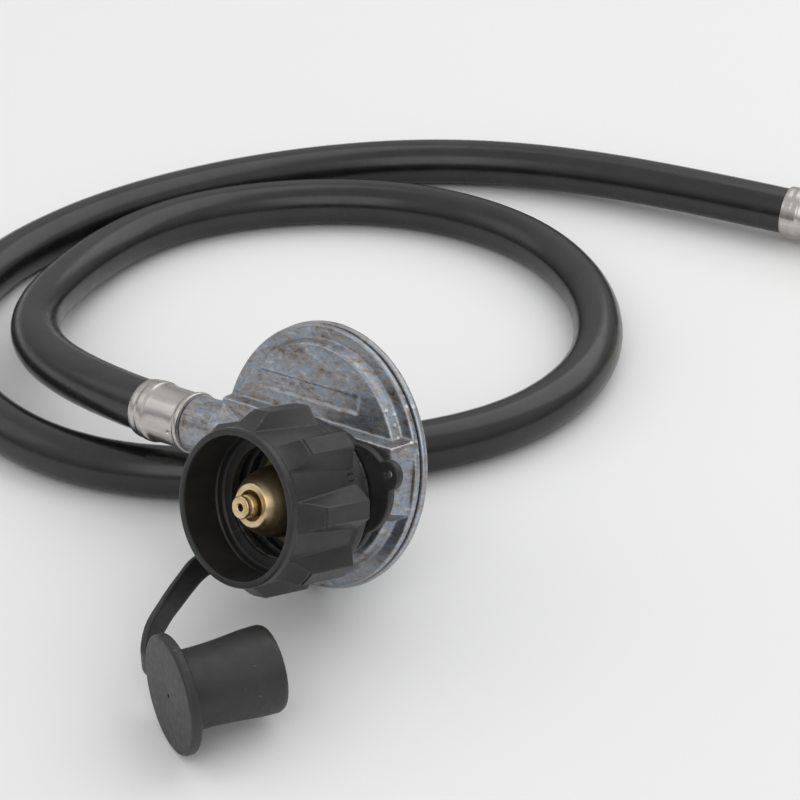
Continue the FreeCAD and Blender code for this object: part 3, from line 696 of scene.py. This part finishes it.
def ribbon(middles, normals, width, thickness, samples):
    """Flat band with rounded edges along a smooth line through its middles."""
    outline = []
    for index in range(BAND_SIDES):
        angle = 2 * math.pi * index / BAND_SIDES
        c, s = math.cos(angle), math.sin(angle)
        outline.append((math.copysign(abs(c) ** 0.35, c), math.copysign(abs(s) ** 0.5, s)))
    vertices = []
    faces = []
    spans = len(middles) - 1
    for step in range(samples + 1):
        t = spans * step / samples
        here = along(middles, t)
        run = (along(middles, min(t + 0.02, spans)) - along(middles, max(t - 0.02, 0))).normalized()
        side = run.cross(along(normals, t)).normalized()
        normal = side.cross(run).normalized()
        for a, b in outline:
            vertices.append(here + side * (a * width / 2) + normal * (b * thickness / 2))
        if step:
            last = (step - 1) * BAND_SIDES
            this = step * BAND_SIDES
            for index in range(BAND_SIDES):
                ahead = (index + 1) % BAND_SIDES
                faces.append((last + index, last + ahead, this + ahead, this + index))
    end = samples * BAND_SIDES
    faces.append(tuple(reversed(range(BAND_SIDES))))
    faces.append(tuple(range(end, end + BAND_SIDES)))
    return vertices, faces


def evaluated(obj, name):
    """New mesh of an object with its modifiers applied; the object is removed."""
    depsgraph = bpy.context.evaluated_depsgraph_get()
    mesh = bpy.data.meshes.new_from_object(obj.evaluated_get(depsgraph))
    mesh.name = name
    bpy.data.objects.remove(obj)
    return mesh


def moulded(name, parts, cutters, voxel, smoothing):
    """One soft-edged mesh in millimetres from overlapping parts, less its cutters."""
    vertices = []
    faces = []
    for part_vertices, part_faces in parts:
        start = len(vertices)
        vertices += part_vertices
        faces += [tuple(start + index for index in face) for face in part_faces]
    obj = built(name, vertices, faces)
    remesh = obj.modifiers.new("union", "REMESH")
    remesh.mode = "VOXEL"
    remesh.voxel_size = voxel
    tools = []
    for index, (cut_vertices, cut_faces) in enumerate(cutters):
        tool = built(name + "_cut" + str(index), cut_vertices, cut_faces)
        tools.append(tool)
        cut = obj.modifiers.new("cut", "BOOLEAN")
        cut.operation = "DIFFERENCE"
        cut.solver = "EXACT"
        cut.object = tool
    soften = obj.modifiers.new("soften", "SMOOTH")
    soften.factor = 0.5
    soften.iterations = smoothing
    mesh = evaluated(obj, name)
    for tool in tools:
        bpy.data.objects.remove(tool)
    return mesh


def ring_disc(radius, span, offset, fillet):
    """Disc on the regulator, centred at an offset from the inlet's axis, in row millimetres."""
    low, high = span
    corners = [(0, low, 0), (radius, low, fillet), (radius, high, fillet), (0, high, 0)]
    centre = (INLET[0] + offset[0], INLET[1] + offset[1])
    vertices, faces = turned_mesh(rounded(corners), 96, None, centre)
    return [STAND_IN_ROW @ Vector(vertex) for vertex in vertices], faces


STAND_IN_ROW = ROW.inverted() @ STAND
RING_Z = (7.5, 9.7)
RING_CUT_Z = (6.0, 11.0)
STRAP_Z = 8.6            # middle of the ring's thickness
STRAP_EXIT = math.radians(220)
STRAP_WIDTH = 6.2
STRAP_THICKNESS = 2.0
STRAP_ROOT = Vector((-0.945, 0.320, -0.07))   # from the cap's axis to where the strap joins


def tether_mesh():
    """Ring, pull tab and strap as one rubber moulding, in row millimetres."""
    parts = [ring_disc(radius, RING_Z, offset, 0.4) for radius, offset in (
        (17.0, (0.8, 0.2)), (11.3, (11.3, 3.7)), (3.8, (21.1, 9.4)))]
    holes = [ring_disc(radius, RING_CUT_Z, offset, 0.1) for radius, offset in (
        (13.0, (1.0, 0.3)), (1.1, (21.6, 9.8)))]
    front = STAND_IN_ROW.to_3x3().normalized() @ Vector((0, 0, 1))
    leave = Vector((math.cos(STRAP_EXIT), math.sin(STRAP_EXIT)))
    inner, outer = (
        STAND_IN_ROW @ Vector((INLET[0] + reach * leave.x, INLET[1] + reach * leave.y, STRAP_Z))
        for reach in (14.5, 21.0))
    edge = CAP_FACE - CAP_AXIS * (CAP_FLANGE / 2)
    middles = [inner, outer, Vector((-4.2, -20.8, 15.6)), Vector((-5.1, -27.2, 15.4)),
               Vector((-4.4, -33.5, 16.2)), Vector((-2.4, -39.6, 17.4)), Vector((0.6, -45.5, 18.3)),
               Vector((3.7, -51.5, 18.9)), Vector((6.5, -57.5, 18.8)), Vector((9.0, -63.5, 17.2)),
               edge + STRAP_ROOT * (CAP_FLANGE_R + 3.2), edge + STRAP_ROOT * (CAP_FLANGE_R - 1.0)]
    normals = [-front, Vector((-0.33, 0.75, -0.57)), Vector((-0.71, 0.31, -0.63)),
               Vector((-0.79, 0, -0.61)), Vector((-0.78, -0.27, -0.57)),
               Vector((-0.74, -0.40, -0.54)), Vector((-0.78, -0.46, -0.43)),
               Vector((-0.82, -0.42, -0.40)), Vector((-0.89, -0.34, -0.30)),
               Vector((-0.91, -0.27, -0.31)), Vector((-0.71, -0.70, 0)), CAP_AXIS]
    parts.append(ribbon(middles, normals, STRAP_WIDTH, STRAP_THICKNESS, 140))
    return moulded("tether_moulded", parts, holes, 0.33, 3)


tether = added("tether_moulded", tether_mesh())
clean_mesh(tether.data)
place_mesh(tether, ROW, rubber("tether_look", ROW), "tether", 60)
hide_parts("tether")


# ---- CAD nodes that stay ----

def cast_edges(node, voxel, smoothing):
    """Ease a CAD casting's edges and inner corners the way a die casting's are."""
    obj = NODES[node]
    remesh = obj.modifiers.new("cast", "REMESH")
    remesh.mode = "VOXEL"
    remesh.voxel_size = voxel * MM
    remesh.use_smooth_shade = True
    soften = obj.modifiers.new("soften", "SMOOTH")
    soften.factor = 0.5
    soften.iterations = smoothing


def dress(node, material):
    """Put one material on a CAD node."""
    obj = NODES[node]
    obj.data.materials.clear()
    obj.data.materials.append(material)


cast_edges("lower_body", 0.34, 4)
cast_edges("bonnet", 0.4, 4)
dress("lower_body", zinc("lower_body_look", STAND))
bonnet_space = STAND @ Matrix.Translation((37, 11, 5))     # so the castings' patterns differ
dress("bonnet", zinc("bonnet_look", bonnet_space))
for node in ("bonnet_cap", "thermal_bushing", "adjusting_screw"):
    dress(node, nylon(node + "_look", STAND))
for node in ("orifice_seat", "flow_poppet", "outlet_barb", "diaphragm_stem"):
    dress(node, brass(node + "_look", STAND))
for node in ("diaphragm_plate", "lever_arm", "lever_pin", "main_spring", "flow_spring",
             "inlet_filter", "vent_screen"):
    dress(node, plated(node + "_look", STAND))
for node in ("diaphragm_membrane", "seat_pad"):
    dress(node, rubber(node + "_look", STAND))


# ---- stage ----

FLOOR_HALF = 40.0        # metres; seen from low down, the floor's far edge is the horizon

floor_mesh = bpy.data.meshes.new("floor")
floor_mesh.from_pydata([(-FLOOR_HALF, -FLOOR_HALF, 0), (FLOOR_HALF, -FLOOR_HALF, 0),
                        (FLOOR_HALF, FLOOR_HALF, 0), (-FLOOR_HALF, FLOOR_HALF, 0)],
                       [], [(0, 1, 2, 3)])
floor = added("floor", floor_mesh)
floor_look = bpy.data.materials.new("floor_look")
floor_look.use_nodes = True
floor_shader = floor_look.node_tree.nodes["Principled BSDF"]
floor_shader.inputs["Base Color"].default_value = (0.92, 0.92, 0.92, 1)
floor_shader.inputs["Roughness"].default_value = 0.7
floor_shader.inputs["Specular IOR Level"].default_value = 0.2
floor.data.materials.append(floor_look)


def soft_light(name, place, size, energy):
    """Square area light aimed at the origin: metres and watts."""
    data = bpy.data.lights.new(name, "AREA")
    data.size = size
    data.energy = energy
    obj = added(name, data)
    obj.location = place
    obj.rotation_euler = (-Vector(place)).to_track_quat("-Z", "Y").to_euler()


soft_light("key", (0.05, 0.95, 1.15), 1.5, 6.2)
soft_light("front_fill", (0.8, -0.9, 1.0), 1.2, 4.2)
soft_light("left_fill", (-0.9, -0.6, 0.7), 0.8, 0.9)

# The sky is grey up to the horizon and turns white by 33 degrees above it.
world = bpy.data.worlds.new("studio")
world.use_nodes = True
world_tree = world.node_tree
sky = world_tree.nodes["Background"]
sky.inputs["Strength"].default_value = 0.7
direction = world_tree.nodes.new("ShaderNodeTexCoord")
heights = world_tree.nodes.new("ShaderNodeSeparateXYZ")
glow = world_tree.nodes.new("ShaderNodeValToRGB")
stops = glow.color_ramp.elements
stops[0].position, stops[0].color = 0.0, (0.30, 0.30, 0.30, 1)
stops[1].position, stops[1].color = 0.55, (1, 1, 1, 1)
world_tree.links.new(direction.outputs["Generated"], heights.inputs[0])
world_tree.links.new(heights.outputs["Z"], glow.inputs["Fac"])
world_tree.links.new(glow.outputs["Color"], sky.inputs["Color"])
bpy.context.scene.world = world
bpy.context.scene.view_settings.view_transform = "Standard"
